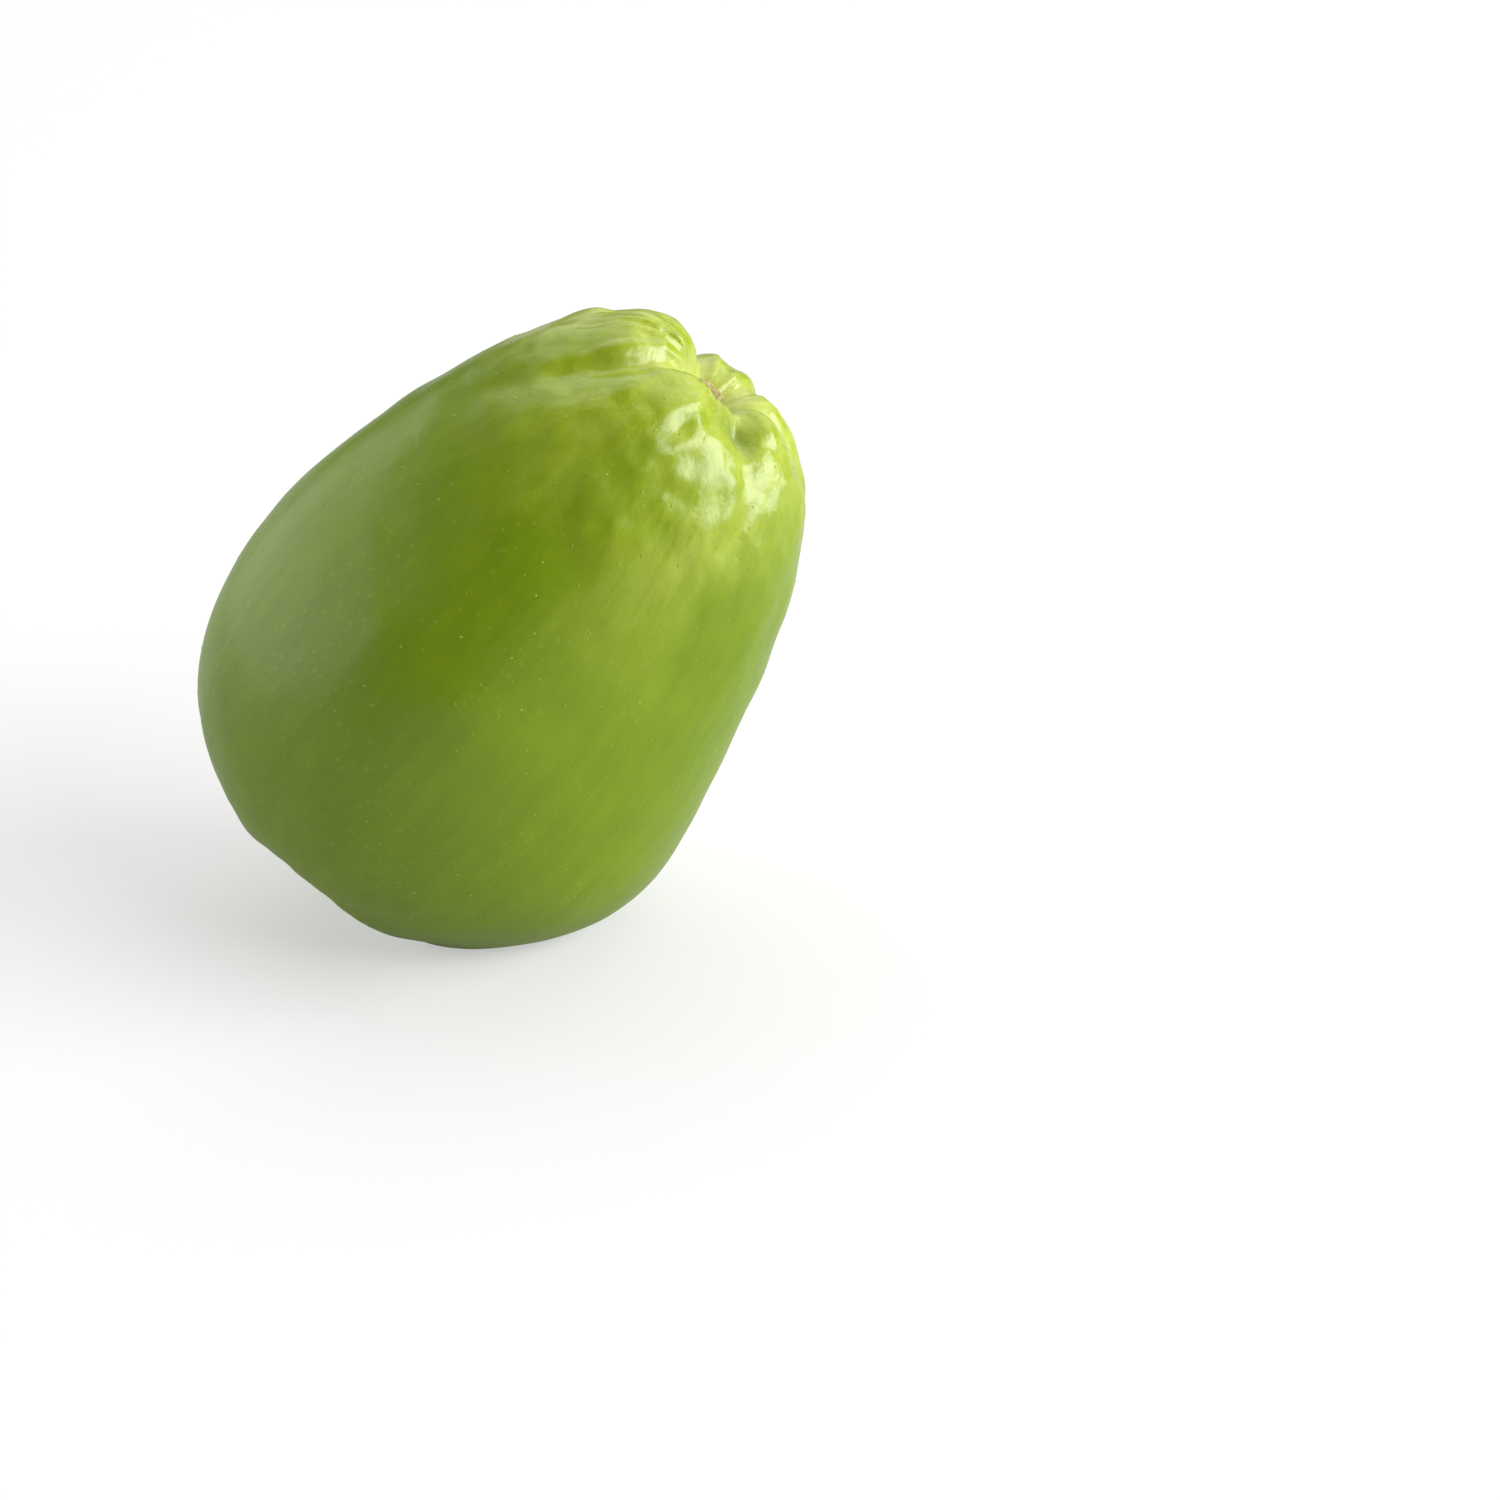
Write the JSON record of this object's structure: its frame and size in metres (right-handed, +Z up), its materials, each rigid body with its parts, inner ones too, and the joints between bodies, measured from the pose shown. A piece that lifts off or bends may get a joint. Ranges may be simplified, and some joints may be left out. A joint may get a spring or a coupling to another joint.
{
  "type": "chayote",
  "caption": "Whole chayote fruit, pear-shaped and green, with furrows round its stem pit and a cleft at its blossom end; it leans at rest on a small flat spot.",
  "frame": {"origin": "middle of the flat spot that the fruit rests on, at ground level", "axes": "+Z up, out of the ground; +X the level direction that the stem end leans towards; +Y to the far side"},
  "size_m": [0.1049, 0.0786, 0.1112],
  "materials": {
    "skin": "waxy, smooth, semi-gloss"
  },
  "bodies": {
    "root": {"chayote": "skin"}
  },
  "joints": []
}
